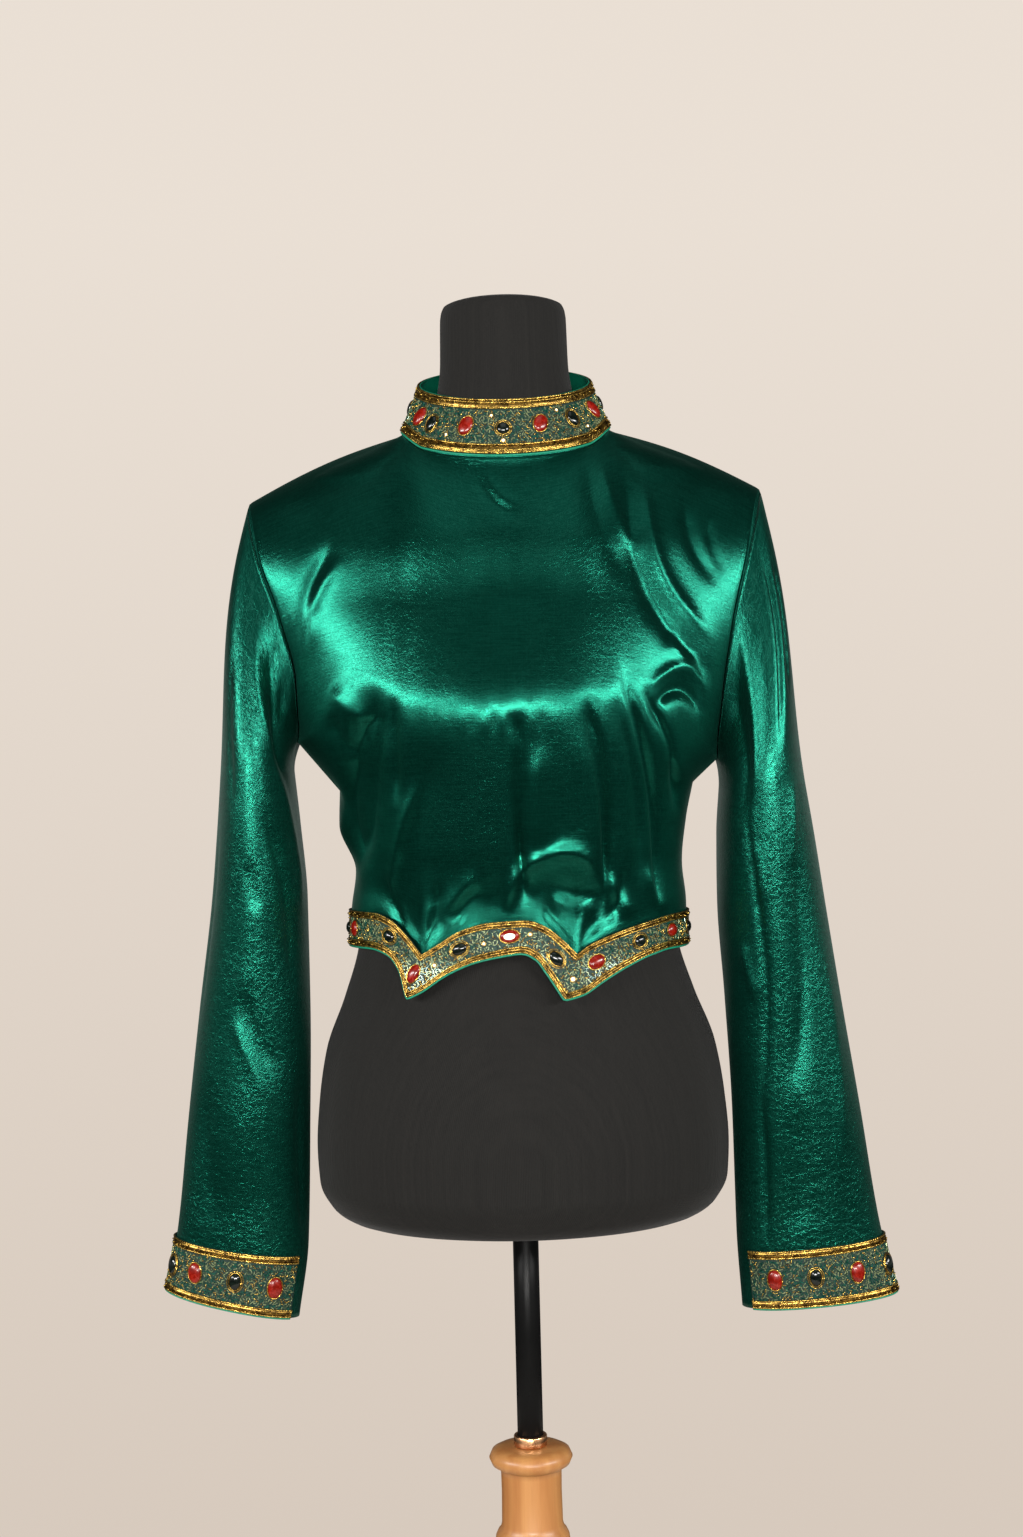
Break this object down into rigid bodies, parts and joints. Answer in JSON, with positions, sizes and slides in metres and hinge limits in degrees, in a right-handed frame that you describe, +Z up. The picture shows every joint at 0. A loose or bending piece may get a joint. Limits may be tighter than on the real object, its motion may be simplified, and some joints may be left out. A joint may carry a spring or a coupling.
{
  "type": "high collar blouse on a dress form",
  "caption": "Cropped satin blouse with a high collar, long sleeves and beaded borders, on a limbless dress form with a turned wooden stand.",
  "frame": {"origin": "on the floor, under the middle of the stand's pole", "axes": "+Z up, the blouse's front faces -Y, +X is on the right of someone who looks at the front"},
  "size_m": [0.5687, 0.34, 1.5],
  "materials": {
    "satin": "deep green crepe-back satin with a soft sheen",
    "beaded_braid": "green ground dense with bugle beads, gold braid edges, red and black stones",
    "form_cloth": "charcoal jersey, fine weave",
    "black_enamel": "gloss black",
    "brass": "polished, coppery",
    "turned_wood": "honey beech, satin varnish"
  },
  "bodies": {
    "root": {"front": "satin", "back_left": "satin", "back_right": "satin", "back_placket": "satin", "sleeve_left": "satin", "sleeve_right": "satin", "collar": "satin", "collar_trim": "beaded_braid", "hem_trim_front": "beaded_braid", "hem_trim_back_left": "beaded_braid", "hem_trim_back_right": "beaded_braid", "cuff_trim_left": "beaded_braid", "cuff_trim_right": "beaded_braid", "form_torso": "form_cloth", "form_pole": "black_enamel", "form_ring": "brass", "form_post": "turned_wood", "form_base": "turned_wood"}
  },
  "joints": []
}
